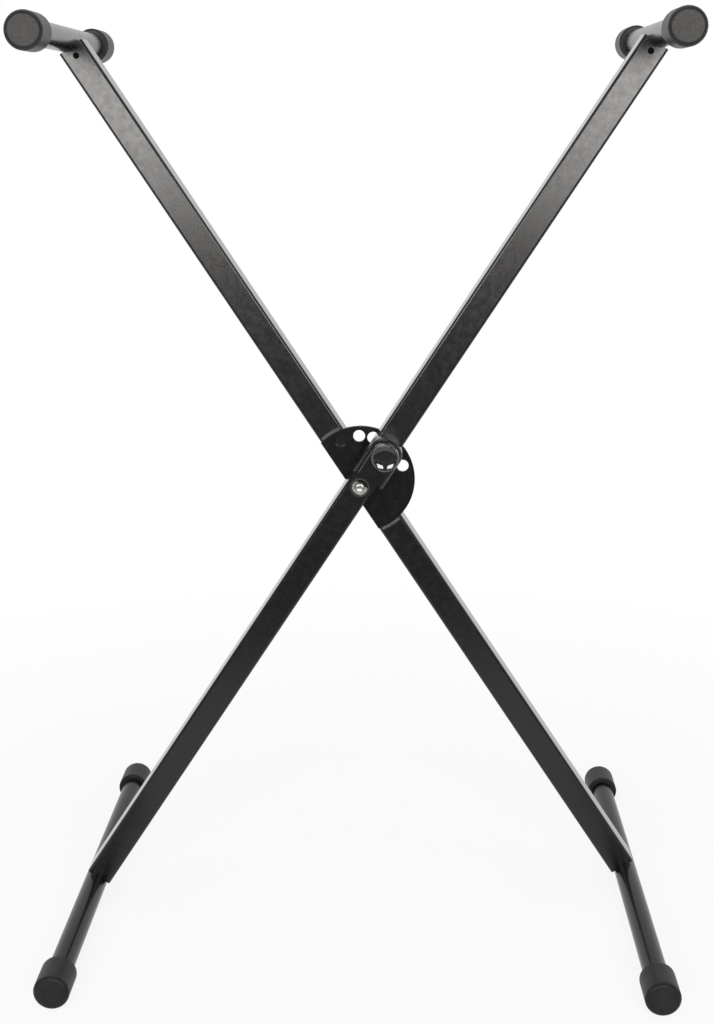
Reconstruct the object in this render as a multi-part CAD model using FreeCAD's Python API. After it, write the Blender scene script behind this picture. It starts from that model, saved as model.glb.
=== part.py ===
import FreeCAD, Part
import math
import os

# Folding keyboard stand, in millimetres.
# +X is to the right, +Y is away from the pull knob and +Z is up.
# The origin is on the floor below the pivot, midway between the two arms.

# Overall shape
half_angle = 33.2          # each arm's lean from the vertical, degrees
pivot_to_top = 483.0       # pivot to a top tube's axis, along the arm
pivot_to_base = 487.0      # pivot to a base tube's axis, along the arm
top_tube_length = 324.0
base_tube_length = 472.0

# Arms
arm_width = 25.0           # across the arm, seen from the front
arm_depth = 30.0           # front to back
arm_wall = 1.5
arm_corner = 2.5
arm_gap = 4.0              # between the two arms, front to back
arm_end_setback = 7.5      # tube axis to the arm's square-cut end

# Cross tubes and rubber caps
tube_diameter = 22.0
tube_wall = 1.5
cap_diameter = 32.0
cap_length = 38.5
cap_end_wall = 5.0
cap_end_round = 4.0
cap_mouth_round = 2.2

# Tube fastening: a bolt through the tube into a plug in the arm end
plug_length = 22.0
tube_bolt_diameter = 6.0
tube_bolt_hole = 6.4
tube_bolt_reach = 24.0     # tube axis to the bolt's inner end
tube_bolt_head_diameter = 10.5
tube_bolt_head_height = 3.3
tube_bolt_socket = 4.0     # across flats
tube_bolt_socket_depth = 2.0
saddle_diameter = 14.0
saddle_thickness = 1.2     # at the middle, over the tube's crown

# Locking plate, fixed to the rear arm
plate_thickness = 3.0
plate_radius = 51.5
plate_edge_round = 0.4
lock_rise = 42.0           # pivot to the locking pin, along the front arm
lock_offset = 1.2          # pin to the right of the front arm's centre line
lock_hole_diameter = 11.3
lock_hole_step = 18.4      # degrees between neighbouring holes
open_steps = 2             # holes on each side of the middle one
storage_angle = 62.0       # middle hole to the storage hole, degrees
weld_leg = 2.8
weld_half_angle = 9.0      # half of a bead's length, degrees about the pivot

# Pivot stack
pivot_bolt_diameter = 8.0
pivot_running_clearance = 0.05   # radial, bolt in the parts that turn on it
pivot_play = 0.2                 # front to back, on each side of what turns
pivot_head_diameter = 14.7
pivot_head_height = 4.6
pivot_socket = 5.0               # across flats
pivot_socket_depth = 2.8
pivot_washer_diameter = 18.2
pivot_washer_thickness = 1.6
pivot_spacer_diameter = 20.0
pivot_bush_diameter = 12.0
nut_across_flats = 13.0
nut_height = 8.0
nut_ball_radius = 7.7              # ball that trims the nut's corners
nut_ring_height = 2.4
nut_ring_diameter = 10.4
bolt_past_nut = 2.0

# Lock bracket and hood, fixed to the front arm
bracket_thickness = 2.5
hood_height = 20.0               # front of the arm to the hood's front face
hood_wall = 2.0
hood_shoulder = 5.0
hood_half_width = 15.8           # about the pin
hood_corner = 12.5               # radius of its two upper corners
hood_crown = 54.8                # pivot to its upper end
hood_open_front = 14.0           # pivot to the start of the hood's front face
hood_open_foot = 8.0             # pivot to the foot of the hood's side walls

# Locking pin, its bush and its spring
pin_diameter = 10.0
pin_running_clearance = 0.1      # radial, in the bush
pin_travel = 6.0
pin_grip = 2.7                   # how far the pin enters the plate when locked
pin_lead = 0.8
collar_diameter = 15.0
collar_thickness = 2.0
stem_diameter = 6.0
stem_clearance = 0.2             # radial, in the hood
stem_thread_length = 8.0
bush_diameter = 14.0
bush_flange_diameter = 18.0
bush_flange_thickness = 1.5
bush_setback = 0.2               # bush end behind the arm's rear face
spring_wire = 0.8
spring_diameter = 11.4           # over the coils

# Pull knob
knob_diameter = 25.2
knob_thickness = 13.0
knob_standoff = 0.5              # knob to hood when the pin is locked
knob_edge_round = 1.4
knob_groove_radius = 8.0         # middle of the dished ring
knob_groove_width = 6.2
knob_groove_depth = 1.1
insert_diameter = 9.0

# Positions that follow from the sizes above
lock_circle_radius = math.hypot(lock_rise, lock_offset)
lock_bearing = math.degrees(math.atan2(lock_offset, lock_rise))
pivot_height = pivot_to_base * math.cos(math.radians(half_angle)) + cap_diameter / 2
front_arm_front = -arm_gap / 2 - arm_depth
front_arm_rear = -arm_gap / 2
rear_arm_front = arm_gap / 2
rear_arm_rear = arm_gap / 2 + arm_depth
plate_front = rear_arm_front - plate_thickness
bracket_front = front_arm_front - bracket_thickness
washer_rear = bracket_front - pivot_play
washer_front = washer_rear - pivot_washer_thickness
nut_front = rear_arm_rear + pivot_washer_thickness
nut_rear = nut_front + nut_height
spacer_front = front_arm_rear + pivot_play
hood_front = front_arm_front - hood_height
hood_inside = hood_front + hood_wall
flange_front = bracket_front - bush_flange_thickness

# The pin is drawn clear of the plate, so it stands pin_travel forward of locked.
tip_rear = plate_front + pin_grip - pin_travel
collar_rear = flange_front - pin_travel
collar_front = collar_rear - collar_thickness
knob_rear = hood_front - knob_standoff - pin_travel
knob_front = knob_rear - knob_thickness

x_axis = FreeCAD.Vector(1, 0, 0)
y_axis = FreeCAD.Vector(0, 1, 0)
z_axis = FreeCAD.Vector(0, 0, 1)


def point(x, y, z):
    return FreeCAD.Vector(x, y, z)


def bar(diameter, y_from, y_to, x=0.0, z=0.0):
    """Round bar along Y."""
    return Part.makeCylinder(diameter / 2, y_to - y_from, point(x, y_from, z), y_axis)


def ring(outer, inner, y_from, y_to, x=0.0, z=0.0):
    """Round ring along Y."""
    return bar(outer, y_from, y_to, x, z).cut(bar(inner, y_from, y_to, x, z))


def hexagon(across_flats, y_from, y_to):
    """Hexagonal bar along Y, about the Y axis."""
    reach = across_flats / 2 / math.cos(math.radians(30))
    corners = []
    for index in range(7):
        angle = math.radians(60 * index)
        corners.append(point(reach * math.cos(angle), y_from, reach * math.sin(angle)))
    face = Part.Face(Part.makePolygon(corners))
    return face.extrude(point(0, y_to - y_from, 0))


def rounded_box(width, depth, height, corner, z_from):
    """Upright box about the Z axis with its four long edges rounded."""
    box = Part.makeBox(width, depth, height, point(-width / 2, -depth / 2, z_from))
    upright = [edge for edge in box.Edges if abs(edge.tangentAt(0).z) > 0.99]
    return box.makeFillet(corner, upright)


def edges_at(shape, y, radius=None):
    """Round edges in the plane at y, and only those of this radius if one is given."""
    found = []
    for edge in shape.Edges:
        box = edge.BoundBox
        if abs(box.YMin - y) > 0.001 or abs(box.YMax - y) > 0.001:
            continue
        if radius is None:
            found.append(edge)
        elif hasattr(edge.Curve, "Radius") and abs(edge.Curve.Radius - radius) < 0.001:
            found.append(edge)
    return found


def on_front_arm(shape):
    """From the upright drawing with the pivot at zero to the front arm's place."""
    placed = shape.copy()
    placed.rotate(point(0, 0, 0), y_axis, half_angle)
    placed.translate(point(0, 0, pivot_height))
    return placed


def on_rear_arm(shape):
    """From the upright drawing with the pivot at zero to the rear arm's place."""
    placed = shape.copy()
    placed.rotate(point(0, 0, 0), y_axis, -half_angle)
    placed.translate(point(0, 0, pivot_height))
    return placed


# Arms. Each is drawn upright with the pivot at zero, then leaned over.


def make_arm(y_middle):
    top = pivot_to_top - arm_end_setback
    bottom = -pivot_to_base + arm_end_setback
    outside = rounded_box(arm_width, arm_depth, top - bottom, arm_corner, bottom)
    inside = rounded_box(
        arm_width - 2 * arm_wall,
        arm_depth - 2 * arm_wall,
        top - bottom,
        arm_corner - arm_wall,
        bottom,
    )
    arm = outside.cut(inside)
    arm.translate(point(0, y_middle, 0))
    y_from = y_middle - arm_depth
    y_to = y_middle + arm_depth
    for z in (pivot_to_top, -pivot_to_base):
        arm = arm.cut(bar(tube_diameter, y_from, y_to, 0, z))
    return arm.cut(bar(pivot_bush_diameter, y_from, y_to))


front_arm_middle = (front_arm_front + front_arm_rear) / 2
rear_arm_middle = (rear_arm_front + rear_arm_rear) / 2
pin_bore = bar(
    bush_diameter, front_arm_front - 1, front_arm_rear + 1, lock_offset, lock_rise
)
front_arm = make_arm(front_arm_middle).cut(pin_bore)
rear_arm = make_arm(rear_arm_middle)


def make_pivot_bush(y_from, y_to):
    bore = pivot_bolt_diameter + 2 * pivot_running_clearance
    return ring(pivot_bush_diameter, bore, y_from, y_to)


front_pivot_bush = make_pivot_bush(front_arm_front, front_arm_rear)
rear_pivot_bush = make_pivot_bush(rear_arm_front, rear_arm_rear)

# Locking plate: a disc about the pivot, cut off along the rear arm's lower edge.

plate_disc = bar(2 * plate_radius, plate_front, rear_arm_front)
plate_window = Part.makeBox(
    arm_width / 2 + plate_radius,
    plate_thickness,
    2 * plate_radius,
    point(-arm_width / 2, plate_front, -plate_radius),
)
locking_plate = plate_disc.common(plate_window)
plate_bore = pivot_bolt_diameter + 2 * pivot_running_clearance
locking_plate = locking_plate.cut(bar(plate_bore, plate_front, rear_arm_front))

# The middle hole lies behind the pin. The front arm is twice the half angle away.
middle_hole = 90 - 2 * half_angle - lock_bearing
hole_angles = [middle_hole + storage_angle]
for step in range(-open_steps, open_steps + 1):
    hole_angles.append(middle_hole + step * lock_hole_step)
for angle in hole_angles:
    hole_x = lock_circle_radius * math.cos(math.radians(angle))
    hole_z = lock_circle_radius * math.sin(math.radians(angle))
    hole = bar(lock_hole_diameter, plate_front, rear_arm_front, hole_x, hole_z)
    locking_plate = locking_plate.cut(hole)
locking_plate = locking_plate.makeFillet(
    plate_edge_round, edges_at(locking_plate, plate_front)
)


def make_weld(middle_angle):
    """Three-sided bead along the plate's round edge, on the arm's front face."""
    corner = point(plate_radius, rear_arm_front, 0)
    on_arm = point(plate_radius + weld_leg, rear_arm_front, 0)
    on_edge = point(plate_radius, rear_arm_front - weld_leg, 0)
    face = Part.Face(Part.makePolygon([corner, on_arm, on_edge, corner]))
    bead = face.revolve(point(0, 0, 0), y_axis, 2 * weld_half_angle)
    # The sweep about +Y runs from +X towards -Z.
    bead.rotate(point(0, 0, 0), y_axis, -middle_angle - weld_half_angle)
    return bead


plate_weld_upper = make_weld(90)
plate_weld_lower = make_weld(-90)

# Pivot stack, from front to back.

bolt_shank = bar(pivot_bolt_diameter, washer_front, nut_rear + bolt_past_nut)
head_front = washer_front - pivot_head_height
bolt_head = bar(pivot_head_diameter, head_front, washer_front)
bolt_head = bolt_head.makeFillet(
    pivot_head_height * 0.7, edges_at(bolt_head, head_front, pivot_head_diameter / 2)
)
bolt_socket = hexagon(pivot_socket, head_front, head_front + pivot_socket_depth)
pivot_bolt = bolt_shank.fuse(bolt_head).cut(bolt_socket).removeSplitter()
washer_bore = pivot_bolt_diameter + 2 * pivot_running_clearance
pivot_washer_front = ring(pivot_washer_diameter, washer_bore, washer_front, washer_rear)
pivot_washer_rear = ring(pivot_washer_diameter, washer_bore, rear_arm_rear, nut_front)
pivot_spacer = ring(pivot_spacer_diameter, washer_bore, spacer_front, plate_front)
ring_front = nut_rear - nut_ring_height
nut_block = hexagon(nut_across_flats, nut_front, nut_rear)
nut_ball = Part.makeSphere(nut_ball_radius, point(0, (nut_front + nut_rear) / 2, 0))
pivot_nut = nut_block.common(nut_ball)
pivot_nut = pivot_nut.cut(bar(pivot_bolt_diameter, nut_front, nut_rear))
pivot_nut = pivot_nut.cut(bar(nut_ring_diameter, ring_front, nut_rear))
pivot_nut_ring = ring(nut_ring_diameter, pivot_bolt_diameter, ring_front, nut_rear)

# Lock bracket and hood, drawn upright with the pivot at zero.


def lock_outline(inset, y_from, y_to):
    """Two round upper corners, straight sides, and a round tab as wide as the arm."""
    corner = hood_corner - inset
    left = lock_offset - hood_half_width + inset
    right = lock_offset + hood_half_width - inset
    top = hood_crown - inset
    foot_half = arm_width / 2 - inset
    diagonal = corner * math.sqrt(0.5)
    corner_middle = top - corner + diagonal
    right_corner = Part.Arc(
        point(right, y_from, top - corner),
        point(right - corner + diagonal, y_from, corner_middle),
        point(right - corner, y_from, top),
    ).toShape()
    left_corner = Part.Arc(
        point(left + corner, y_from, top),
        point(left + corner - diagonal, y_from, corner_middle),
        point(left, y_from, top - corner),
    ).toShape()
    tab = Part.Arc(
        point(-foot_half, y_from, 0),
        point(0, y_from, -foot_half),
        point(foot_half, y_from, 0),
    ).toShape()
    crown = Part.makeLine(
        point(right - corner, y_from, top), point(left + corner, y_from, top)
    )
    left_side = Part.makePolygon(
        [
            point(left, y_from, top - corner),
            point(left, y_from, hood_open_foot),
            point(-foot_half, y_from, 0),
        ]
    )
    right_side = Part.makePolygon(
        [
            point(foot_half, y_from, 0),
            point(right, y_from, hood_open_foot),
            point(right, y_from, top - corner),
        ]
    )
    edges = [right_corner, crown, left_corner] + left_side.Edges + [tab] + right_side.Edges
    return Part.Face(Part.Wire(edges)).extrude(point(0, y_to - y_from, 0))


bracket_bore = pivot_bolt_diameter + 2 * pivot_running_clearance
lock_bracket = lock_outline(0, bracket_front, front_arm_front)
lock_bracket = lock_bracket.cut(bar(bracket_bore, bracket_front, front_arm_front))
lock_bracket = lock_bracket.cut(
    bar(bush_diameter, bracket_front, front_arm_front, lock_offset, lock_rise)
)

hood_block = lock_outline(0, hood_front, bracket_front)
hood_block = hood_block.makeFillet(hood_shoulder, edges_at(hood_block, hood_front))
hood_hollow = lock_outline(hood_wall, hood_inside, bracket_front)
hood_hollow = hood_hollow.makeFillet(
    hood_shoulder - hood_wall, edges_at(hood_hollow, hood_inside)
)
lock_hood = hood_block.cut(hood_hollow)
# The lower end is cut away on a slope, so that the bolt head stands free.
slope = Part.makePolygon(
    [
        point(0, hood_front - 1, -arm_width),
        point(0, hood_front - 1, hood_open_front),
        point(0, hood_front, hood_open_front),
        point(0, bracket_front, hood_open_foot),
        point(0, bracket_front, -arm_width),
        point(0, hood_front - 1, -arm_width),
    ]
)
lower_end = Part.Face(slope).extrude(point(2 * arm_width, 0, 0))
lower_end.translate(point(-arm_width, 0, 0))
lock_hood = lock_hood.cut(lower_end)
stem_bore = stem_diameter + 2 * stem_clearance
lock_hood = lock_hood.cut(
    bar(stem_bore, hood_front - 1, hood_inside + 1, lock_offset, lock_rise)
)

# Locking pin, bush, spring and knob, drawn about the Y axis and moved to the lock.


def at_lock(shape):
    moved = shape.copy()
    moved.translate(point(lock_offset, 0, lock_rise))
    return moved


bush_bore = pin_diameter + 2 * pin_running_clearance
plunger_bush = bar(bush_diameter, bracket_front, front_arm_rear - bush_setback)
plunger_bush = plunger_bush.fuse(bar(bush_flange_diameter, flange_front, bracket_front))
plunger_bush = plunger_bush.cut(bar(bush_bore, flange_front, front_arm_rear))
plunger_bush = at_lock(plunger_bush.removeSplitter())

stem_front = knob_rear - stem_thread_length
pin_body = bar(pin_diameter, collar_rear, tip_rear)
pin_body = pin_body.makeChamfer(pin_lead, edges_at(pin_body, tip_rear, pin_diameter / 2))
pin_collar = bar(collar_diameter, collar_front, collar_rear)
pin_stem = bar(stem_diameter, stem_front, collar_front)
lock_pin = at_lock(pin_body.fuse([pin_collar, pin_stem]).removeSplitter())

# A plain sleeve stands for the coil spring and fills the space of its turns.
spring_bore = spring_diameter - 2 * spring_wire
plunger_spring = at_lock(ring(spring_diameter, spring_bore, hood_inside, collar_front))

knob_body = bar(knob_diameter, knob_front, knob_rear)
knob_body = knob_body.makeFillet(
    knob_edge_round,
    edges_at(knob_body, knob_front, knob_diameter / 2)
    + edges_at(knob_body, knob_rear, knob_diameter / 2),
)
# The dished ring is part of a torus whose tube is as wide as the ring at the face.
groove_tube = (knob_groove_width ** 2 / 4 + knob_groove_depth ** 2) / 2 / knob_groove_depth
groove = Part.makeTorus(
    knob_groove_radius,
    groove_tube,
    point(0, knob_front - groove_tube + knob_groove_depth, 0),
    y_axis,
)
knob_body = knob_body.cut(groove)
knob_body = knob_body.cut(bar(insert_diameter, stem_front, knob_rear))
pull_knob = at_lock(knob_body)
knob_insert = at_lock(ring(insert_diameter, stem_diameter, stem_front, knob_rear))

# Cross tubes, caps, plugs, bolts and saddle washers. A tube's set is drawn with the
# tube's axis at a signed distance from the pivot: positive above it, negative below.


def make_tube(distance, length, arm_middle):
    tube = ring(
        tube_diameter, tube_diameter - 2 * tube_wall, -length / 2, length / 2, 0, distance
    )
    hole = Part.makeCylinder(
        tube_bolt_hole / 2,
        2 * tube_diameter,
        point(0, arm_middle, distance - tube_diameter),
        z_axis,
    )
    return tube.cut(hole)


def make_cap(distance, length, side):
    """Cap at the front end (side -1) or rear end (side 1) of a tube."""
    outer_end = side * (length / 2 + cap_end_wall)
    mouth = outer_end - side * cap_length
    low = min(outer_end, mouth)
    high = max(outer_end, mouth)
    cap = bar(cap_diameter, low, high, 0, distance)
    cap = cap.makeFillet(cap_end_round, edges_at(cap, outer_end, cap_diameter / 2))
    cap = cap.makeFillet(cap_mouth_round, edges_at(cap, mouth, cap_diameter / 2))
    tube_end = side * length / 2
    return cap.cut(
        bar(tube_diameter, min(tube_end, mouth), max(tube_end, mouth), 0, distance)
    )


def make_plug(distance, arm_middle):
    outward = math.copysign(1, distance)
    end = distance - outward * arm_end_setback
    z_from = min(end, end - outward * plug_length)
    plug = rounded_box(
        arm_width - 2 * arm_wall,
        arm_depth - 2 * arm_wall,
        plug_length,
        arm_corner - arm_wall,
        z_from,
    )
    plug.translate(point(0, arm_middle, 0))
    y_from = arm_middle - arm_depth
    y_to = arm_middle + arm_depth
    plug = plug.cut(bar(tube_diameter, y_from, y_to, 0, distance))
    thread = Part.makeCylinder(
        tube_bolt_diameter / 2, plug_length, point(0, arm_middle, z_from), z_axis
    )
    return plug.cut(thread)


def turned_outward(shape, distance, arm_middle):
    """From a drawing about the Z axis at zero to the tube at this distance."""
    placed = shape.copy()
    if distance < 0:
        placed.rotate(point(0, 0, 0), x_axis, 180)
    placed.translate(point(0, arm_middle, distance))
    return placed


def make_saddle(distance, arm_middle):
    seat = tube_diameter / 2 + saddle_thickness
    disc = Part.makeCylinder(saddle_diameter / 2, seat, point(0, 0, 0), z_axis)
    saddle = disc.cut(bar(tube_diameter, -saddle_diameter, saddle_diameter))
    saddle = saddle.cut(Part.makeCylinder(tube_bolt_hole / 2, seat, point(0, 0, 0), z_axis))
    return turned_outward(saddle, distance, arm_middle)


def make_tube_bolt(distance, arm_middle):
    seat = tube_diameter / 2 + saddle_thickness
    shank = Part.makeCylinder(
        tube_bolt_diameter / 2,
        seat + tube_bolt_reach,
        point(0, 0, -tube_bolt_reach),
        z_axis,
    )
    head = Part.makeCylinder(
        tube_bolt_head_diameter / 2, tube_bolt_head_height, point(0, 0, seat), z_axis
    )
    crown = seat + tube_bolt_head_height
    rim = [edge for edge in head.Edges if abs(edge.BoundBox.ZMin - crown) < 0.001]
    head = head.makeFillet(tube_bolt_head_height * 0.7, rim)
    socket = hexagon(tube_bolt_socket, -tube_bolt_socket_depth, 0)
    socket.rotate(point(0, 0, 0), x_axis, -90)
    socket.translate(point(0, 0, crown - tube_bolt_socket_depth))
    bolt = shank.fuse(head).cut(socket).removeSplitter()
    return turned_outward(bolt, distance, arm_middle)


parts = {
    "rear_arm": on_rear_arm(rear_arm),
    "locking_plate": on_rear_arm(locking_plate),
    "plate_weld_upper": on_rear_arm(plate_weld_upper),
    "plate_weld_lower": on_rear_arm(plate_weld_lower),
    "rear_pivot_bush": on_rear_arm(rear_pivot_bush),
    "pivot_bolt": on_rear_arm(pivot_bolt),
    "pivot_washer_front": on_rear_arm(pivot_washer_front),
    "pivot_spacer": on_rear_arm(pivot_spacer),
    "pivot_washer_rear": on_rear_arm(pivot_washer_rear),
    "pivot_nut": on_rear_arm(pivot_nut),
    "pivot_nut_ring": on_rear_arm(pivot_nut_ring),
    "front_arm": on_front_arm(front_arm),
    "front_pivot_bush": on_front_arm(front_pivot_bush),
    "lock_bracket": on_front_arm(lock_bracket),
    "lock_hood": on_front_arm(lock_hood),
    "plunger_bush": on_front_arm(plunger_bush),
    "plunger_spring": on_front_arm(plunger_spring),
    "lock_pin": on_front_arm(lock_pin),
    "pull_knob": on_front_arm(pull_knob),
    "knob_insert": on_front_arm(knob_insert),
}


def add_tube_set(level, hand, distance, length, arm_middle, place):
    """One cross tube with its two caps, plug, saddle washer and bolt."""
    parts[level + "_tube_" + hand] = place(make_tube(distance, length, arm_middle))
    parts[level + "_cap_" + hand + "_front"] = place(make_cap(distance, length, -1))
    parts[level + "_cap_" + hand + "_rear"] = place(make_cap(distance, length, 1))
    parts[level + "_plug_" + hand] = place(make_plug(distance, arm_middle))
    parts[level + "_saddle_" + hand] = place(make_saddle(distance, arm_middle))
    parts[level + "_bolt_" + hand] = place(make_tube_bolt(distance, arm_middle))


add_tube_set("top", "left", pivot_to_top, top_tube_length, rear_arm_middle, on_rear_arm)
add_tube_set(
    "base", "right", -pivot_to_base, base_tube_length, rear_arm_middle, on_rear_arm
)
add_tube_set(
    "top", "right", pivot_to_top, top_tube_length, front_arm_middle, on_front_arm
)
add_tube_set(
    "base", "left", -pivot_to_base, base_tube_length, front_arm_middle, on_front_arm
)

os.makedirs("parts", exist_ok=True)
for name, shape in parts.items():
    if not shape.isValid() or len(shape.Solids) != 1:
        raise ValueError(name + " is not one valid solid")
    shape.Solids[0].exportStep("parts/" + name + ".step")
    box = shape.BoundBox
    print(
        name,
        round(shape.Volume, 1),
        [round(value, 1) for value in (box.XMin, box.YMin, box.ZMin)],
        [round(value, 1) for value in (box.XMax, box.YMax, box.ZMax)],
    )
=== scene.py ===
import math
import bpy
import bmesh
from mathutils import Matrix, Vector


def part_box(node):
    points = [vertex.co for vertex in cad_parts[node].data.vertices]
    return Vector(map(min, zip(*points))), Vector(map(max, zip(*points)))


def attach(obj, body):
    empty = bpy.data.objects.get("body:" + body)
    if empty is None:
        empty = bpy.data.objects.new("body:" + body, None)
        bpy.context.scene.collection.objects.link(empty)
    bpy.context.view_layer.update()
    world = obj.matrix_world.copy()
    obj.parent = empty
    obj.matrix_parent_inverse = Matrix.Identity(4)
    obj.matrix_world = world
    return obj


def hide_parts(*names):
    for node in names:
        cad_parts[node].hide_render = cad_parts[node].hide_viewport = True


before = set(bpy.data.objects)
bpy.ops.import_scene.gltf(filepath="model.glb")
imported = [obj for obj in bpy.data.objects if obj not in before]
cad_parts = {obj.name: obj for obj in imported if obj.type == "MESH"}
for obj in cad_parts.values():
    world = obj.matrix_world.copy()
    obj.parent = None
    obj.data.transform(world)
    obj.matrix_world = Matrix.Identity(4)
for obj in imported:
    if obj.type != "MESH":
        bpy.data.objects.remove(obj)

scene = bpy.context.scene
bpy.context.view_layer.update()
print("frame loaded:", len(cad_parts), "nodes")

# where the stand's own lines run, in metres
stand = {
    "pivot": (0.0, 0.0, 0.423504),
    "lean": math.radians(33.2),     # each arm from the vertical
    "armHalfWidth": 0.0125,
    "lockRadius": 0.042,            # pivot to the plate's holes
    "lockRise": 0.042,              # pivot to the pull knob along the arm
    "lockOffset": 0.0012,           # and to the right of the arm's middle
    "tubeReach": 0.483,             # pivot to a top tube's axis
    "armMiddle": 0.017,             # each arm's middle before or behind the pivot
}
pivot = Vector(stand["pivot"])
alongFront = Vector((math.sin(stand["lean"]), 0.0, math.cos(stand["lean"])))    # up the front arm
alongRear = Vector((-math.sin(stand["lean"]), 0.0, math.cos(stand["lean"])))    # up the rear arm
acrossFront = Vector((math.cos(stand["lean"]), 0.0, -math.sin(stand["lean"])))
lockPlace = pivot + alongFront * stand["lockRise"] + acrossFront * stand["lockOffset"]


def addObject(name, data):
    thing = bpy.data.objects.new(name, data)
    scene.collection.objects.link(thing)
    return thing


def addNode(tree, kind, inputs=None, **settings):
    node = tree.nodes.new(kind)
    for key, value in settings.items():
        setattr(node, key, value)
    for key, value in (inputs or {}).items():
        if isinstance(value, bpy.types.NodeSocket):
            tree.links.new(value, node.inputs[key])
        else:
            node.inputs[key].default_value = value
    return node


def emptyTree(owner):
    owner.use_nodes = True
    owner.node_tree.nodes.clear()
    return owner.node_tree


def startMaterial(name):
    material = bpy.data.materials.new(name)
    material.use_nodes = True
    tree = material.node_tree
    shader = tree.nodes["Principled BSDF"]
    place = addNode(tree, "ShaderNodeTexCoord").outputs["Object"]
    return material, tree, shader, place


def linkShader(tree, shader, colour, rough, normal):
    for label, value in (("Base Color", colour), ("Roughness", rough), ("Normal", normal)):
        tree.links.new(value, shader.inputs[label])


def mathNode(tree, operation, first, second=0.0, third=None, clamp=False):
    inputs = {0: first, 1: second}
    if third is not None:
        inputs[2] = third
    return addNode(tree, "ShaderNodeMath", inputs, operation=operation, use_clamp=clamp).outputs[0]


def noise(tree, place, scale, detail, roughness, distortion=0.0):
    return addNode(tree, "ShaderNodeTexNoise", {"Vector": place, "Scale": scale, "Detail": detail,
                   "Roughness": roughness, "Distortion": distortion}).outputs["Fac"]


def spread(tree, value, low, high, outLow=0.0, outHigh=1.0):
    # value from low..high becomes outLow..outHigh, held at both ends
    return addNode(tree, "ShaderNodeMapRange", {"Value": value, "From Min": low, "From Max": high,
                   "To Min": outLow, "To Max": outHigh}, clamp=True).outputs["Result"]


def blendColour(tree, amount, first, second):
    node = addNode(tree, "ShaderNodeMix", {"Factor": amount}, data_type="RGBA")
    for socket, value in ((node.inputs[6], first), (node.inputs[7], second)):
        if isinstance(value, bpy.types.NodeSocket):
            tree.links.new(value, socket)
        else:
            socket.default_value = (*value, 1.0)
    return node.outputs[2]


def bumps(tree, height, strength, distance, under=None):
    inputs = {"Height": height, "Strength": strength, "Distance": distance}
    if under is not None:
        inputs["Normal"] = under
    return addNode(tree, "ShaderNodeBump", inputs).outputs["Normal"]


def fromCentre(tree, place, centre):
    return addNode(tree, "ShaderNodeVectorMath", {0: place, 1: centre}, operation="SUBTRACT").outputs[0]


def upright(tree, place, lean, centre):
    # object coordinates turned so that a leaning arm stands along Z with its centre at zero
    moved = fromCentre(tree, place, centre)
    return addNode(tree, "ShaderNodeMapping", {"Vector": moved, "Rotation": (0.0, -lean, 0.0)}).outputs[0]


def split(tree, vector):
    parts = addNode(tree, "ShaderNodeSeparateXYZ", {0: vector})
    return parts.outputs[0], parts.outputs[1], parts.outputs[2]


def radiusAbout(tree, across, along):
    # distance from the Y axis
    flat = addNode(tree, "ShaderNodeCombineXYZ", {0: across, 1: 0.0, 2: along}).outputs[0]
    return addNode(tree, "ShaderNodeVectorMath", {0: flat}, operation="LENGTH").outputs["Value"]


# In the settings of a finish each noise is its features per metre, detail, roughness and, where given,
# distortion. A range is the noise values where its effect starts and is full. A bump is its strength and
# its height in metres.
powderCoat = {
    "black": (0.0022, 0.0022, 0.0023),
    "dusty": (0.006, 0.0058, 0.0056),
    "bare": (0.42, 0.41, 0.39),     # steel where the coat is rubbed through
    "polished": (0.03, 0.03, 0.03),     # coat rubbed shiny by turning
    "roughness": (0.2, 0.27),
    "fineRange": (0.35, 0.65),
    "sideSmoother": 0.14,           # how much less rough the arms' narrow sides are
    "broad": (9.0, 5.0, 0.6),
    "fine": (160.0, 6.0, 0.65),
    "dustRange": (0.24, 0.36),
    "dustShare": 0.5,
    "peel": (700.0, 2.0, 0.5),      # orange peel
    "peelStrength": 0.5,
    "peelHeight": 3e-6,
    "wave": (45.0, 2.0, 0.4),
    "waveBump": (0.25, 1e-4),
    "specks": (2600.0, 1.0, 0.3),
    "speckRange": (0.7, 0.8),
    "speckBump": (0.08, 6e-6),
    "chips": (210.0, 8.0, 0.75, 0.4),
    "chipRange": (0.66, 0.7),
    "chipBand": (0.93, 0.995),      # shares of the half width where chips begin and are full
    "sideBand": (0.998, 0.9995),    # and where the narrow side face begins
    "swirl": (90.0, 6.0, 0.7),
    "swirlRange": (0.5, 0.68),
    "ringHalfWidth": 0.0035,        # metres
    "polishSmoother": 0.1,
    "polishShare": 0.3,
}


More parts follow.
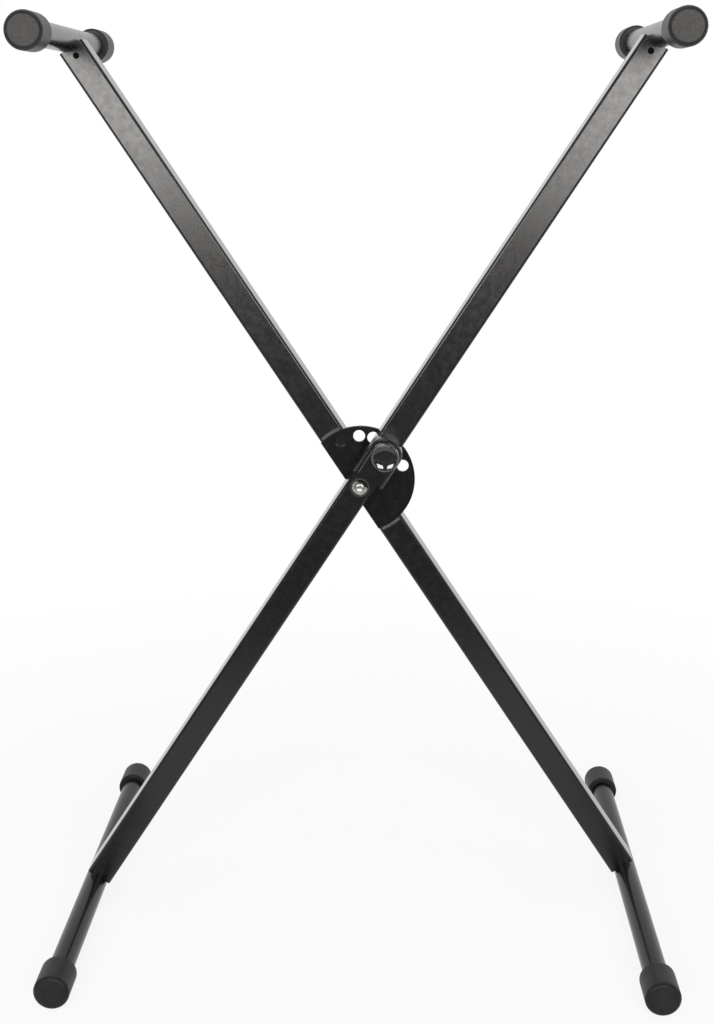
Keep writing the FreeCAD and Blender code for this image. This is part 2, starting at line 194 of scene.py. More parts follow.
def makePowderCoat(name, lean=0.0, centre=(0.0, 0.0, 0.0), edge=None, rubbed=None, gloss=1.5,
                   roughness=None, peelHeight=None, tones=None):
    # edge: distance from the centre line to the corners; rubbed: radius about the centre worn by turning
    s = powderCoat
    black, dusty = tones or (s["black"], s["dusty"])
    material, tree, shader, place = startMaterial(name)
    across, _, along = split(tree, upright(tree, place, lean, centre))
    broad = noise(tree, place, *s["broad"])
    fine = noise(tree, place, *s["fine"])
    dust = spread(tree, mathNode(tree, "MULTIPLY", broad, fine), *s["dustRange"])
    colour = blendColour(tree, mathNode(tree, "MULTIPLY", dust, s["dustShare"]), black, dusty)
    rough = spread(tree, fine, *s["fineRange"], *(roughness or s["roughness"]))
    peel = noise(tree, place, *s["peel"])
    wave = noise(tree, place, *s["wave"])
    specks = spread(tree, noise(tree, place, *s["specks"]), *s["speckRange"])
    normal = bumps(tree, wave, *s["waveBump"])
    normal = bumps(tree, peel, s["peelStrength"], peelHeight or s["peelHeight"], normal)
    normal = bumps(tree, specks, *s["speckBump"], normal)
    metal = None
    if edge is not None:
        fromMiddle = mathNode(tree, "ABSOLUTE", across)
        chipFrom, chipFull = s["chipBand"]
        atEdge = spread(tree, fromMiddle, edge * chipFrom, edge * chipFull)
        chips = spread(tree, noise(tree, place, *s["chips"]), *s["chipRange"])
        metal = mathNode(tree, "MULTIPLY", atEdge, chips)
        # the narrow side faces are smoother than the wide ones
        sideFrom, sideFull = s["sideBand"]
        sideFace = spread(tree, fromMiddle, edge * sideFrom, edge * sideFull)
        rough = mathNode(tree, "SUBTRACT", rough, mathNode(tree, "MULTIPLY", sideFace, s["sideSmoother"]))
    if rubbed is not None:
        ring = mathNode(tree, "SUBTRACT", radiusAbout(tree, across, along), rubbed)
        nearRing = spread(tree, mathNode(tree, "ABSOLUTE", ring), 0.0, s["ringHalfWidth"], 1.0, 0.0)
        swirl = spread(tree, noise(tree, place, *s["swirl"]), *s["swirlRange"])
        polish = mathNode(tree, "MULTIPLY", nearRing, swirl)
        rough = mathNode(tree, "SUBTRACT", rough, mathNode(tree, "MULTIPLY", polish, s["polishSmoother"]))
        shine = mathNode(tree, "MULTIPLY", polish, s["polishShare"])
        colour = blendColour(tree, shine, colour, s["polished"])
    if metal is not None:
        colour = blendColour(tree, metal, colour, s["bare"])
        tree.links.new(metal, shader.inputs["Metallic"])
    linkShader(tree, shader, colour, rough, normal)
    shader.inputs["IOR"].default_value = gloss
    return material


rubber = {
    "dark": (0.0085, 0.0085, 0.0087),
    "worn": (0.019, 0.0187, 0.018),
    "roughness": (0.38, 0.52),
    "gloss": {"top": 1.42, "base": 1.3},
    "grain": (1500.0, 3.0, 0.6),
    "grainRange": (0.3, 0.7),
    "grainBump": (0.4, 5e-5),
    "scuff": (60.0, 6.0, 0.65),
    "scuffRange": (0.42, 0.72),
    "ringScale": 260.0,
    "ringDistortion": 1.2,
    "ringDetail": 2.0,
    "ringBump": (0.12, 4e-5),
    "seamHalfWidth": 0.00035,
    "seamEnd": (0.018, 0.0185),     # fades out here from the middle of the cap, before its end face
    "seamBump": (0.5, 0.00012),
}


def makeRubber(name, centre, gloss):
    s = rubber
    material, tree, shader, place = startMaterial(name)
    _, deep, high = split(tree, fromCentre(tree, place, centre))
    cloud = noise(tree, place, *s["scuff"])
    grain = noise(tree, place, *s["grain"])
    rings = addNode(tree, "ShaderNodeTexWave", {"Vector": place, "Scale": s["ringScale"],
                    "Distortion": s["ringDistortion"], "Detail": s["ringDetail"]},
                    wave_type="BANDS", bands_direction="Y").outputs["Fac"]
    # the mould's parting line runs along each side of the cap
    seam = spread(tree, mathNode(tree, "ABSOLUTE", high), 0.0, s["seamHalfWidth"], 1.0, 0.0)
    side = spread(tree, mathNode(tree, "ABSOLUTE", deep), *s["seamEnd"], 1.0, 0.0)
    seam = mathNode(tree, "MULTIPLY", seam, side)
    colour = blendColour(tree, spread(tree, cloud, *s["scuffRange"]), s["dark"], s["worn"])
    rough = spread(tree, grain, *s["grainRange"], *s["roughness"])
    normal = bumps(tree, grain, *s["grainBump"])
    normal = bumps(tree, rings, *s["ringBump"], normal)
    normal = bumps(tree, seam, *s["seamBump"], normal)
    linkShader(tree, shader, colour, rough, normal)
    shader.inputs["IOR"].default_value = gloss
    return material


turnedMetal = {
    "rings": (900.0, 3.0, 0.6),
    "ringRough": 0.06,
    "ringBump": (0.4, 3e-5),
    "stain": (240.0, 6.0, 0.7),
    "stainRange": (0.45, 0.75),
    "roughRange": (0.3, 0.7),
}


def makeTurnedMetal(name, colour, darker, roughness, axisPoint):
    # rings about an axis along Y, as a lathe or a plated pressing leaves them
    s = turnedMetal
    material, tree, shader, place = startMaterial(name)
    across, deep, high = split(tree, fromCentre(tree, place, axisPoint))
    radius = radiusAbout(tree, across, high)
    path = addNode(tree, "ShaderNodeCombineXYZ", {0: radius, 1: deep, 2: 0.0}).outputs[0]
    rings = noise(tree, path, *s["rings"])
    stain = noise(tree, place, *s["stain"])
    tone = blendColour(tree, spread(tree, stain, *s["stainRange"]), colour, darker)
    rough = mathNode(tree, "ADD", spread(tree, stain, *s["roughRange"], *roughness),
                     mathNode(tree, "MULTIPLY", rings, s["ringRough"]))
    normal = bumps(tree, rings, *s["ringBump"])
    linkShader(tree, shader, tone, rough, normal)
    shader.inputs["Metallic"].default_value = 1.0
    return material


plastic = {
    "cloud": (130.0, 5.0, 0.6),
    "cloudRange": (0.45, 0.7),
    "cloudShare": 0.6,
    "roughRange": (0.3, 0.7),
    "poreShape": (3.0, 0.6),        # detail and roughness of the pores' noise
    "poreStrength": 0.3,
    "hairTurn": (0.3, 0.5, 0.2),    # fine scratches, all one way
    "hairStretch": (1.0, 14.0, 1.0),
    "hair": (420.0, 2.0, 0.7),
    "hairRange": (0.66, 0.72),
    "hairRough": 0.12,
}


def makePlastic(name, colour, other, roughness, pores, depth, gloss):
    s = plastic
    material, tree, shader, place = startMaterial(name)
    cloud = noise(tree, place, *s["cloud"])
    pitted = noise(tree, place, pores, *s["poreShape"])
    drawn = addNode(tree, "ShaderNodeMapping", {"Vector": place, "Rotation": s["hairTurn"],
                    "Scale": s["hairStretch"]}).outputs[0]
    scratch = spread(tree, noise(tree, drawn, *s["hair"]), *s["hairRange"])
    tone = blendColour(tree, spread(tree, cloud, *s["cloudRange"], 0.0, s["cloudShare"]), colour, other)
    rough = mathNode(tree, "ADD", spread(tree, cloud, *s["roughRange"], *roughness),
                     mathNode(tree, "MULTIPLY", scratch, s["hairRough"]))
    normal = bumps(tree, pitted, s["poreStrength"], depth)
    linkShader(tree, shader, tone, rough, normal)
    shader.inputs["IOR"].default_value = gloss
    return material


finishes = {
    "frontArm": makePowderCoat("frontArmCoat", stand["lean"], stand["pivot"], stand["armHalfWidth"]),
    "rearArm": makePowderCoat("rearArmCoat", -stand["lean"], stand["pivot"], stand["armHalfWidth"]),
    "plate": makePowderCoat("plateCoat", -stand["lean"], stand["pivot"],
                            rubbed=stand["lockRadius"], gloss=1.4),
    "hood": makePowderCoat("hoodCoat", gloss=1.43, roughness=(0.23, 0.29), peelHeight=1.5e-6),
    # the weld's coat is lighter grey than the arms' black: a painted highlight along the beads
    "weld": makePowderCoat("weldCoatPaintedHighlight", roughness=(0.26, 0.36),
                           tones=((0.06, 0.059, 0.057), (0.13, 0.127, 0.12))),
    "topTube": makePowderCoat("topTubeCoat"),
    "baseTube": makePowderCoat("baseTubeCoat", gloss=1.31),
}

# material name, tone, darker tone, roughness from and to, and a point on the axis its rings run round
metals = {
    "zinc": ("zincPlate", (0.72, 0.71, 0.69), (0.5, 0.49, 0.46), (0.2, 0.38), stand["pivot"]),
    "bolt": ("boltZinc", (0.42, 0.41, 0.4), (0.28, 0.275, 0.27), (0.22, 0.32), stand["pivot"]),
    "brass": ("brassInsert", (0.66, 0.48, 0.2), (0.42, 0.29, 0.11), (0.25, 0.4), lockPlace),
    "pin": ("pinSteel", (0.58, 0.57, 0.55), (0.4, 0.39, 0.37), (0.18, 0.34), lockPlace),
    "bush": ("bushSteel", (0.5, 0.49, 0.47), (0.3, 0.29, 0.27), (0.3, 0.46), stand["pivot"]),
    "spring": ("springWire", (0.46, 0.45, 0.44), (0.24, 0.23, 0.22), (0.25, 0.42), lockPlace),
    "oxide": ("blackOxide", (0.055, 0.055, 0.057), (0.03, 0.03, 0.03), (0.32, 0.5), stand["pivot"]),
}
for key, row in metals.items():
    finishes[key] = makeTurnedMetal(*row)

# material name, tone, cloud's tone, roughness from and to, pores per metre, their depth in metres, IOR
plastics = {
    "knob": ("knobGloss", (0.006, 0.006, 0.0062), (0.012, 0.012, 0.012), (0.05, 0.09), 900.0, 4e-7, 1.75),
    "nylon": ("nylonRing", (0.72, 0.71, 0.66), (0.6, 0.58, 0.5), (0.4, 0.55), 700.0, 3e-5, 1.5),
    "matte": ("matteBlack", (0.002, 0.002, 0.002), (0.004, 0.004, 0.004), (0.7, 0.85), 900.0, 2e-5, 1.2),
    "moulded": ("mouldedNylon", (0.018, 0.018, 0.018), (0.035, 0.034, 0.033), (0.4, 0.56), 800.0, 4e-5, 1.5),
}
for key, row in plastics.items():
    finishes[key] = makePlastic(*row)
print("finishes made:", len(finishes))

# the finish of each CAD node that finishFor doesn't tell by part of its name; the rest are zinc
namedFinishes = {
    "front_arm": "frontArm", "rear_arm": "rearArm", "locking_plate": "plate",
    "plate_weld_upper": "plate", "plate_weld_lower": "plate",
    "lock_bracket": "frontArm", "lock_hood": "hood", "pull_knob": "knob",
    "knob_insert": "brass", "lock_pin": "pin", "plunger_spring": "spring",
    "plunger_bush": "bush", "front_pivot_bush": "bush", "rear_pivot_bush": "bush",
    "pivot_nut_ring": "nylon", "pivot_washer_front": "oxide",
}


def finishFor(node):
    row = "top" if node.startswith("top_") else "base"
    if "_cap_" in node:
        low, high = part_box(node)
        return makeRubber("rubber_" + node, tuple((low + high) / 2), rubber["gloss"][row])
    if "_tube_" in node:
        return finishes[row + "Tube"]
    if "_plug_" in node or "_saddle_" in node:
        return finishes["moulded"]
    if node.startswith(("top_bolt", "base_bolt")):
        return finishes["oxide"]
    return finishes[namedFinishes.get(node, "zinc")]


for nodeName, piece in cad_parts.items():
    piece.data.materials.clear()
    piece.data.materials.append(finishFor(nodeName))
print("CAD nodes finished")


def startTree(name, inputs):
    # a new Geometry Nodes tree with named inputs, and the sockets they arrive by
    tree = bpy.data.node_groups.new(name, "GeometryNodeTree")
    tree.interface.new_socket("Geometry", in_out="OUTPUT", socket_type="NodeSocketGeometry")
    tree.interface.new_socket("Geometry", in_out="INPUT", socket_type="NodeSocketGeometry")
    for label, kind in inputs.items():
        tree.interface.new_socket(label, in_out="INPUT", socket_type="NodeSocket" + kind)
    return tree, tree.nodes.new("NodeGroupInput").outputs


def endTree(tree, geometry, material):
    whole = addNode(tree, "GeometryNodeRealizeInstances", {0: geometry}).outputs[0]
    smooth = addNode(tree, "GeometryNodeSetShadeSmooth", {"Geometry": whole}).outputs[0]
    painted = addNode(tree, "GeometryNodeSetMaterial", {"Geometry": smooth, "Material": material}).outputs[0]
    tree.links.new(painted, tree.nodes.new("NodeGroupOutput").inputs[0])


def grow(name, tree, values, mesh=None):
    # runs a tree once and keeps what it makes as a plain mesh
    piece = addObject(name, mesh or bpy.data.meshes.new(name))
    modifier = piece.modifiers.new(tree.name, "NODES")
    modifier.node_group = tree
    for item in tree.interface.items_tree:
        if item.item_type == "SOCKET" and item.in_out == "INPUT" and item.name in values:
            modifier[item.identifier] = values[item.name]
    graph = bpy.context.evaluated_depsgraph_get()
    grown = bpy.data.meshes.new_from_object(piece.evaluated_get(graph), depsgraph=graph)
    piece.modifiers.remove(modifier)
    piece.data = grown
    return piece


sharpFrom = math.radians(38)        # edges bent by more than this stay sharp


def turnedMesh(name, outline, centre, axis, steps=60):
    # a closed shape turned about an axis; each step of the outline is (radius, distance along the axis),
    # in millimetres, and "hex" after them makes that ring a hexagon with that half width
    axis = Vector(axis).normalized()
    side = axis.orthogonal().normalized()
    other = axis.cross(side)
    shape = bmesh.new()
    rings = []
    for radius, distance, *kind in outline:
        middle = Vector(centre) + axis * distance / 1000
        if radius == 0:
            rings.append([shape.verts.new(middle)])
            continue
        ring = []
        for step in range(steps):
            turn = 2 * math.pi * step / steps
            reach = radius / 1000
            if kind:
                reach /= math.cos((turn + math.pi / 6) % (math.pi / 3) - math.pi / 6)
            ring.append(shape.verts.new(middle + (side * math.cos(turn) + other * math.sin(turn)) * reach))
        rings.append(ring)
    for inner, outer in zip(rings, rings[1:]):
        for step in range(steps):
            after = (step + 1) % steps
            corners = [inner[step % len(inner)], inner[after % len(inner)], outer[after % len(outer)],
                       outer[step % len(outer)]]
            shape.faces.new(list(dict.fromkeys(corners)))
    bmesh.ops.recalc_face_normals(shape, faces=shape.faces)
    mesh = bpy.data.meshes.new(name)
    shape.to_mesh(mesh)
    shape.free()
    mesh.shade_smooth()
    mesh.set_sharp_from_angle(angle=sharpFrom)
    return mesh


def finishPiece(piece, body, slot, *nodes):
    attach(piece, body)
    if nodes:
        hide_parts(*nodes)
    print("piece made:", piece.name, len(piece.data.polygons), "faces")


def plainPiece(name, mesh, finish):
    mesh.materials.append(finishes[finish])
    return addObject(name, mesh)


def curve(start, end, slopes, count):
    # points of a bend from start to end, with the slopes it leaves and arrives at in degrees
    length = math.dist(start, end) / 3
    leave, arrive = (math.radians(slope) for slope in slopes)
    second = (start[0] + length * math.cos(leave), start[1] + length * math.sin(leave))
    third = (end[0] - length * math.cos(arrive), end[1] - length * math.sin(arrive))
    controls = (start, second, third, end)
    points = []
    for step in range(count + 1):
        t = step / count
        weights = ((1 - t) ** 3, 3 * t * (1 - t) ** 2, 3 * t * t * (1 - t), t ** 3)
        points.append(tuple(sum(weight * point[k] for weight, point in zip(weights, controls))
                            for k in (0, 1)))
    return points


knob = {
    "face": -71.5,             # front of the rim, mm before the pivot
    "back": -58.5,
    "radius": 12.6,
    "flat": 4.3,               # radius of the flat middle of the dish
    "bowl": 17.0,              # radius of the bend of the dish
    "bowlAngle": 22.0,
    "bowlSteps": 12,
    "rimStart": (0.2, 0.1),    # out and back from the edge of the dish
    "rimDepth": 2.4,
    "rimSlopes": (50.0, 90.0),
    "rimSteps": 8,
    "heelRound": (1.2, 1.4),   # in and forward from the corner at the back
    "heelSlopes": (90.0, 180.0),
    "heelSteps": 6,
    "around": 96,
}


def makeKnob():
    s = knob
    low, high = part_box("knob_insert")
    bore, boreEnd = (high[0] - low[0]) / 2 * 1000, low[1] * 1000      # radius and place in mm
    bowlAngle = math.radians(s["bowlAngle"])
    reach = s["flat"] + s["bowl"] * math.sin(bowlAngle)
    depth = s["bowl"] * (1 - math.cos(bowlAngle))
    outline = [(0, s["face"] + depth)]
    for step in range(s["bowlSteps"] + 1):
        turn = math.radians(s["bowlAngle"] * step / s["bowlSteps"])
        outline.append((s["flat"] + s["bowl"] * math.sin(turn),
                        s["face"] + depth - s["bowl"] * (1 - math.cos(turn))))
    out, back = s["rimStart"]
    outline += curve((reach + out, s["face"] + back), (s["radius"], s["face"] + s["rimDepth"]),
                     s["rimSlopes"], s["rimSteps"])
    inward, forward = s["heelRound"]
    outline += curve((s["radius"], s["back"] - forward), (s["radius"] - inward, s["back"]),
                     s["heelSlopes"], s["heelSteps"])
    outline += [(bore, s["back"]), (bore, boreEnd), (0, boreEnd)]
    mesh = turnedMesh("pullKnob", outline, lockPlace, (0, 1, 0), s["around"])
    piece = plainPiece("pullKnob", mesh, "knob")
    finishPiece(piece, "plunger", "knob_plastic", "pull_knob")


bolt = {
    "head": (-40.9, -36.3),    # front and underside of the head, mm before the pivot
    "headRadius": 7.35,
    "headEdge": 0.8,           # the straight edge under the dome
    "domeStart": 0.7,          # outside the socket
    "domeSlopes": (16.0, 84.0),
    "domeSteps": 14,
    "socket": 2.5,             # half across the flats
    "socketDepth": 2.0,
    "socketCone": 0.62,        # the drilled cone below the socket's floor
    "socketBevel": (0.55, 0.35),
    "shank": 4.0,
    "threadFrom": 33.0,
    "threadBevel": 0.4,
    "threadStart": 1.0,        # first ridge behind the start of the thread
    "threadClear": 1.2,        # length of thread without ridges
    "tip": 43.6,
    "tipBevel": (0.5, 0.3),
    "pitch": 1.25,
    "ridge": 0.5,
    "ridgeAround": 48,
    "ridgeSection": 6,
}


def threadTree():
    tree, given = startTree("threadRidges", {"Material": "Material", "Start": "Vector", "Pitch": "Float",
                            "Ridges": "Int", "Core Radius": "Float", "Ridge Height": "Float"})
    step = addNode(tree, "ShaderNodeCombineXYZ", {1: given["Pitch"]}).outputs[0]
    line = addNode(tree, "GeometryNodeMeshLine", {"Count": given["Ridges"], "Start Location": given["Start"],
                   "Offset": step}).outputs[0]
    loop = addNode(tree, "GeometryNodeCurvePrimitiveCircle", {"Resolution": bolt["ridgeAround"],
                   "Radius": given["Core Radius"]}).outputs[0]
    section = addNode(tree, "GeometryNodeCurvePrimitiveCircle", {"Resolution": bolt["ridgeSection"],
                      "Radius": given["Ridge Height"]}).outputs[0]
    ridge = addNode(tree, "GeometryNodeCurveToMesh", {"Curve": loop, "Profile Curve": section}).outputs[0]
    standing = addNode(tree, "GeometryNodeTransform", {"Geometry": ridge,
                       "Rotation": (math.pi / 2, 0.0, 0.0)}).outputs[0]
    ridges = addNode(tree, "GeometryNodeInstanceOnPoints", {"Points": line, "Instance": standing}).outputs[0]
    both = addNode(tree, "GeometryNodeJoinGeometry", {"Geometry": ridges})
    tree.links.new(given["Geometry"], both.inputs[0])
    endTree(tree, both.outputs[0], given["Material"])
    return tree


def makeBolt():
    s = bolt
    front, under = s["head"]
    floor = front + s["socketDepth"]
    core = s["shank"] - s["ridge"]
    bevelOut, bevelDeep = s["socketBevel"]
    tipIn, tipBack = s["tipBevel"]
    outline = [(0, floor + s["socketCone"]), (s["socket"], floor, "hex"),
               (s["socket"], front + bevelDeep, "hex"), (s["socket"] + bevelOut, front)]
    outline += curve((s["socket"] + s["domeStart"], front), (s["headRadius"], under - s["headEdge"]),
                     s["domeSlopes"], s["domeSteps"])
    outline += [(s["headRadius"], under), (s["shank"], under), (s["shank"], s["threadFrom"]),
                (core, s["threadFrom"] + s["threadBevel"]), (core, s["tip"] - tipBack),
                (core - tipIn, s["tip"]), (0, s["tip"])]
    mesh = turnedMesh("pivotBolt", outline, pivot, (0, 1, 0))
    count = int((s["tip"] - s["threadFrom"] - s["threadClear"]) / s["pitch"])
    start = pivot + Vector((0.0, s["threadFrom"] + s["threadStart"], 0.0)) / 1000
    piece = grow("pivotBolt", threadTree(), {"Material": finishes["bolt"], "Start": start,
                 "Pitch": s["pitch"] / 1000, "Ridges": count, "Core Radius": core / 1000,
                 "Ridge Height": s["ridge"] / 1000}, mesh)
    piece.data.set_sharp_from_angle(angle=sharpFrom)
    finishPiece(piece, "rear_frame", "zinc_steel", "pivot_bolt")


weld = {
    "radius": 52.4,            # mm from the pivot, just outside the plate's rim
    "front": 1.1,              # mm behind the pivot
    "upper": 123.2,            # degrees from the right towards the top
    "lower": -56.8,
    "sweep": 18.0,
    "ripples": 13,
    "size": (4.8, 3.2, 4.0),   # across, along and out of each ripple
    "sizeSpread": (0.88, 1.08),
    "segments": 20,
    "rings": 12,
    "seed": 7,
}


def weldTree():
    tree, given = startTree("weldRipples", {"Material": "Material", "Centre": "Vector", "Radius": "Float",
                            "First Angle": "Float", "Angle Step": "Float", "Ripples": "Int",
                            "Size": "Vector", "Seed": "Int"})
    start = addNode(tree, "ShaderNodeCombineXYZ", {0: given["Radius"]}).outputs[0]
    line = addNode(tree, "GeometryNodeMeshLine", {"Count": given["Ripples"], "Start Location": start,
                   "Offset": (0.0, 0.0, 0.0)}).outputs[0]
    drop = addNode(tree, "GeometryNodeMeshUVSphere", {"Segments": weld["segments"], "Rings": weld["rings"],
                   "Radius": 0.5}).outputs[0]
    vary = addNode(tree, "FunctionNodeRandomValue", data_type="FLOAT")
    vary.inputs[2].default_value, vary.inputs[3].default_value = weld["sizeSpread"]
    tree.links.new(given["Seed"], vary.inputs["Seed"])
    size = addNode(tree, "ShaderNodeVectorMath", {0: given["Size"], "Scale": vary.outputs[1]},
                   operation="SCALE").outputs[0]
    drops = addNode(tree, "GeometryNodeInstanceOnPoints", {"Points": line, "Instance": drop,
                    "Scale": size}).outputs[0]
    index = addNode(tree, "GeometryNodeInputIndex").outputs[0]
    angle = mathNode(tree, "MULTIPLY_ADD", index, given["Angle Step"], given["First Angle"])
    turn = addNode(tree, "ShaderNodeCombineXYZ", {2: angle}).outputs[0]
    fanned = addNode(tree, "GeometryNodeRotateInstances", {"Instances": drops, "Rotation": turn,
                     "Local Space": False}).outputs[0]
    placed = addNode(tree, "GeometryNodeTransform", {"Geometry": fanned, "Translation": given["Centre"],
                     "Rotation": (math.pi / 2, 0.0, 0.0)}).outputs[0]
    endTree(tree, placed, given["Material"])
    return tree


def makeWelds():
    s = weld
    tree = weldTree()
    for side in ("upper", "lower"):
        piece = grow("weldBead_" + side, tree, {
            "Material": finishes["weld"], "Centre": pivot + Vector((0.0, s["front"] / 1000, 0.0)),
            "Radius": s["radius"] / 1000, "First Angle": math.radians(s[side] - s["sweep"] / 2),
            "Angle Step": math.radians(s["sweep"] / (s["ripples"] - 1)), "Ripples": s["ripples"],
            "Size": Vector(s["size"]) / 1000, "Seed": s["seed"]})
        finishPiece(piece, "rear_frame", "black_powder_coat", "plate_weld_" + side)


coil = {
    "turns": 5.5,
    "wire": 1.0,               # diameter, mm
    "steps": 40,               # points in each turn
    "section": 10,             # points round the wire
}


def coilTree():
    tree, given = startTree("coilSpring", {"Material": "Material", "Place": "Vector", "Turns": "Float",
                            "Radius": "Float", "Length": "Float", "Wire Radius": "Float", "Steps": "Int"})
    spiral = addNode(tree, "GeometryNodeCurveSpiral", {"Resolution": given["Steps"],
                     "Rotations": given["Turns"], "Start Radius": given["Radius"],
                     "End Radius": given["Radius"], "Height": given["Length"]}).outputs[0]
    section = addNode(tree, "GeometryNodeCurvePrimitiveCircle", {"Resolution": coil["section"],
                      "Radius": given["Wire Radius"]}).outputs[0]
    wire = addNode(tree, "GeometryNodeCurveToMesh", {"Curve": spiral, "Profile Curve": section,
                   "Fill Caps": True}).outputs[0]
    placed = addNode(tree, "GeometryNodeTransform", {"Geometry": wire, "Translation": given["Place"],
                     "Rotation": (-math.pi / 2, 0.0, 0.0)}).outputs[0]
    endTree(tree, placed, given["Material"])
    return tree


def makeSpring():
    s = coil
    low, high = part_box("plunger_spring")
    middle = (low + high) / 2
    half = s["wire"] / 2 / 1000
    piece = grow("springCoil", coilTree(), {
        "Material": finishes["spring"], "Place": Vector((middle[0], low[1] + half, middle[2])),
        "Turns": s["turns"], "Radius": (high[0] - low[0]) / 2 - half, "Length": high[1] - low[1] - 2 * half,
        "Wire Radius": half, "Steps": s["steps"]})
    finishPiece(piece, "front_frame", "spring_steel", "plunger_spring")


topBolt = {
    "head": 5.2,               # radius
    "headHeight": 3.2,
    "crown": 12.0,             # mm from the tube's axis, a millimetre over its surface
    "crownFlat": 2.2,
    "crownDrop": 1.4,
    "crownSlopes": (0.0, -60.0),
    "crownSteps": 8,
    "socket": 1.5,             # half across the flats
    "socketDepth": 1.5,
    "socketBevel": 0.2,
    "socketMouth": 1.9,
    "shank": 3.0,
    "foot": -24.0,
}


def makeTopBolts():
    s = topBolt
    crown, floor, under = s["crown"], s["crown"] - s["socketDepth"], s["crown"] - s["headHeight"]
    outline = [(0, floor), (s["socket"], floor, "hex"), (s["socket"], crown - s["socketBevel"], "hex"),
               (s["socketMouth"], crown)]
    outline += curve((s["crownFlat"], crown), (s["head"], crown - s["crownDrop"]),
                     s["crownSlopes"], s["crownSteps"])
    outline += [(s["head"], under), (s["shank"], under), (s["shank"], s["foot"]), (0, s["foot"])]
    for hand, along, body, depth in (("left", alongRear, "rear_frame", 1),
                                     ("right", alongFront, "front_frame", -1)):
        centre = pivot + along * stand["tubeReach"] + Vector((0.0, depth * stand["armMiddle"], 0.0))
        name = "topBolt_" + hand
        piece = plainPiece(name, turnedMesh(name, outline, centre, along), "oxide")
        finishPiece(piece, body, "black_fastener", "top_bolt_" + hand, "top_saddle_" + hand)


endPlug = {
    "reach": 466.4,            # pivot to the plug along the arm, mm
    "radius": 2.9,
    "proud": 0.6,
    "slopes": (5.0, 60.0),
    "steps": 6,
    "depth": 1.0,
    "around": 36,
    "armFront": {"left": 2.0, "right": -32.0},     # front face of each arm, mm behind the pivot
}


def makeEndPlugs():
    s = endPlug
    for hand, along, body in (("left", alongRear, "rear_frame"), ("right", alongFront, "front_frame")):
        face = s["armFront"][hand]
        outline = curve((0, face - s["proud"]), (s["radius"], face), s["slopes"], s["steps"])
        outline += [(s["radius"], face + s["depth"]), (0, face + s["depth"])]
        name = "endPlug_" + hand
        centre = pivot + along * s["reach"] / 1000
        piece = plainPiece(name, turnedMesh(name, outline, centre, (0, 1, 0), s["around"]), "matte")
        finishPiece(piece, body, "black_plastic")


makeKnob()
makeBolt()
makeWelds()
makeSpring()
makeTopBolts()
makeEndPlugs()
print("pieces made")


studio = {
    "floorSize": 14.0,
    "floorColour": (0.93, 0.93, 0.93),
    "shadowShare": 0.12,       # how much of the floor's look is lit near the stand, the rest is plain white
    "shadowReach": (0.35, 1.1),
    "ambient": 0.4,            # world light that reaches the object
    "boxWidth": 0.94,
    "boxHeight": 0.8,
    "boxPlace": (0.72, -2.5, 0.97),
    "boxTilt": 90.0,           # degrees; 90 faces the stand from the front
    "boxRadiance": 12.0,
    "boxColour": (1.0, 0.97, 0.94),
    # glowing grey sheets seen only in reflections, a painted reflection of darker surroundings: where they
    # lie and how bright they glow
    "darkFloor": (-1.6, 1.6, -2.6, -0.75),   # x from, x to, y from, y to
    "darkFloorHeight": 0.002,
    "darkFloorLevel": 0.22,
    "darkRoom": (2.4, -2.9, -0.8, 2.6),      # half width, y from, y to, height
    "darkRoomLevel": 0.2,
    "topSize": 2.0,
    "topHeight": 2.7,
    "topRadiance": 0.7,
}


def showsBackground(tree):
    rays = addNode(tree, "ShaderNodeLightPath")
    seen = mathNode(tree, "ADD", rays.outputs["Is Camera Ray"], rays.outputs["Is Glossy Ray"])
    return mathNode(tree, "ADD", seen, rays.outputs["Is Transmission Ray"], clamp=True)


def makeSheet(name, corners):
    # a flat four-cornered sheet with a material of its own, still empty
    mesh = bpy.data.meshes.new(name)
    mesh.from_pydata(corners, [], [(0, 1, 2, 3)])
    material = bpy.data.materials.new(name)
    mesh.materials.append(material)
    return addObject(name, mesh), emptyTree(material)


def makeFloor():
    s = studio
    half = s["floorSize"] / 2
    floor, tree = makeSheet("studioFloor", [(-half, -half, 0), (half, -half, 0), (half, half, 0),
                                            (-half, half, 0)])
    lit = addNode(tree, "ShaderNodeBsdfDiffuse", {"Color": (*s["floorColour"], 1.0)}).outputs[0]
    plain = addNode(tree, "ShaderNodeEmission", {"Strength": 1.0}).outputs[0]
    place = addNode(tree, "ShaderNodeTexCoord").outputs["Object"]
    distance = addNode(tree, "ShaderNodeVectorMath", {0: place}, operation="LENGTH").outputs["Value"]
    share = spread(tree, distance, *s["shadowReach"], s["shadowShare"], 0.0)
    look = addNode(tree, "ShaderNodeMixShader", {0: share, 1: plain, 2: lit}).outputs[0]
    out = addNode(tree, "ShaderNodeMixShader", {0: showsBackground(tree), 1: lit, 2: look}).outputs[0]
    addNode(tree, "ShaderNodeOutputMaterial", {0: out})


def makeDarkReflectionShade(name, corners, level):
    # a glowing grey sheet in front of the stand, seen only in its reflections: painted reflection that
    # darkens what the stand mirrors
    shadeSheet, tree = makeSheet(name, corners)
    glow = addNode(tree, "ShaderNodeEmission", {"Strength": level}).outputs[0]
    addNode(tree, "ShaderNodeOutputMaterial", {0: glow})
    shadeSheet.visible_camera = False
    shadeSheet.visible_diffuse = False
    shadeSheet.visible_shadow = False
    shadeSheet.visible_transmission = False


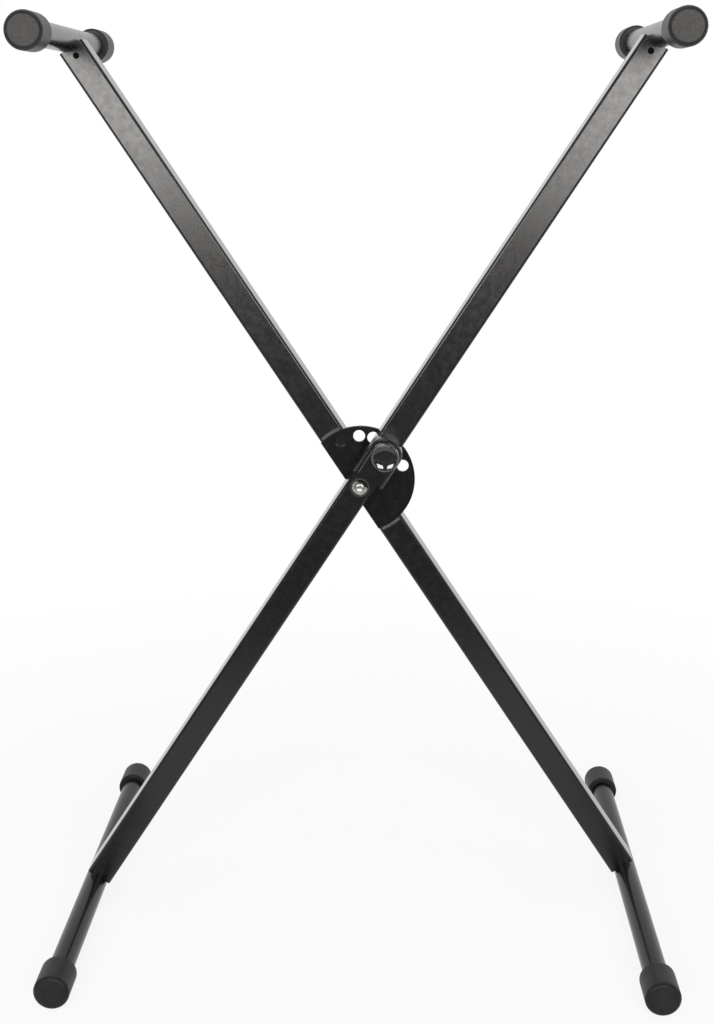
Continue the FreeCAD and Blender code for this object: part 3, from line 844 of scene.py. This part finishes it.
def makeDarkReflectionShades():
    # painted reflection: glowing sheets on the floor and round the front of the room, seen only in the
    # stand's reflections
    left, right, near, far = studio["darkFloor"]
    low = studio["darkFloorHeight"]
    makeDarkReflectionShade("darkFloorCloth", [(left, near, low), (right, near, low), (right, far, low),
                                     (left, far, low)], studio["darkFloorLevel"])
    half, near, far, high = studio["darkRoom"]
    sides = {
        "Front": [(-half, near, 0.0), (half, near, 0.0), (half, near, high), (-half, near, high)],
        "Left": [(-half, near, 0.0), (-half, far, 0.0), (-half, far, high), (-half, near, high)],
        "Right": [(half, near, 0.0), (half, far, 0.0), (half, far, high), (half, near, high)],
        "Top": [(-half, near, high), (half, near, high), (half, far, high), (-half, far, high)],
    }
    for side, corners in sides.items():
        makeDarkReflectionShade("dark" + side + "Cloth", corners, studio["darkRoomLevel"])


def makeWorld():
    scene.world = bpy.data.worlds.new("studioWorld")
    tree = emptyTree(scene.world)
    strength = spread(tree, showsBackground(tree), 0.0, 1.0, studio["ambient"], 1.0)
    glow = addNode(tree, "ShaderNodeBackground", {"Color": (1, 1, 1, 1), "Strength": strength}).outputs[0]
    addNode(tree, "ShaderNodeOutputWorld", {0: glow})


def makeSoftbox(name, width, height, radiance, place, tilt):
    lamp = bpy.data.lights.new(name, "AREA")
    lamp.shape = "RECTANGLE"
    lamp.size = width
    lamp.size_y = height
    lamp.energy = radiance * math.pi * width * height
    lamp.color = studio["boxColour"]
    box = addObject(name, lamp)
    box.location = place
    box.rotation_euler = (math.radians(tilt), 0.0, 0.0)
    box.visible_camera = False


def makeSoftboxes():
    s = studio
    x, y, z = s["boxPlace"]
    for name, side in (("softboxLeft", -1), ("softboxRight", 1)):
        makeSoftbox(name, s["boxWidth"], s["boxHeight"], s["boxRadiance"], (side * x, y, z), s["boxTilt"])
    makeSoftbox("softboxTop", s["topSize"], s["topSize"], s["topRadiance"], (0.0, 0.0, s["topHeight"]), 0.0)


makeFloor()
makeDarkReflectionShades()
makeWorld()
makeSoftboxes()
print("studio made")


view = {
    "place": (0.0394, -1.49606, 0.75956),
    "yaw": -1.672, "pitch": 13.83, "roll": 0.255,   # degrees; pitch is downwards
    "focal": 1607.8,           # in pixels of a 713 x 1024 frame
    "longSide": 1024,
    "clip": (0.05, 60.0),
}


def makeCamera():
    yaw, pitch, roll = (math.radians(view[key]) for key in ("yaw", "pitch", "roll"))
    ahead = Vector((math.sin(yaw) * math.cos(pitch), math.cos(yaw) * math.cos(pitch), -math.sin(pitch)))
    right = Vector((math.cos(yaw), -math.sin(yaw), 0.0))
    down = ahead.cross(right)
    turnedRight = right * math.cos(roll) + down * math.sin(roll)
    turnedDown = down * math.cos(roll) - right * math.sin(roll)
    data = bpy.data.cameras.new("photoCamera")
    camera = addObject("photoCamera", data)
    axes = Matrix((turnedRight, -turnedDown, -ahead)).transposed().to_4x4()
    camera.matrix_world = Matrix.Translation(view["place"]) @ axes
    data.lens = view["focal"] * data.sensor_width / view["longSide"]
    data.clip_start, data.clip_end = view["clip"]
    scene.camera = camera


makeCamera()
scene.view_settings.view_transform = "Standard"

print("scene ready")
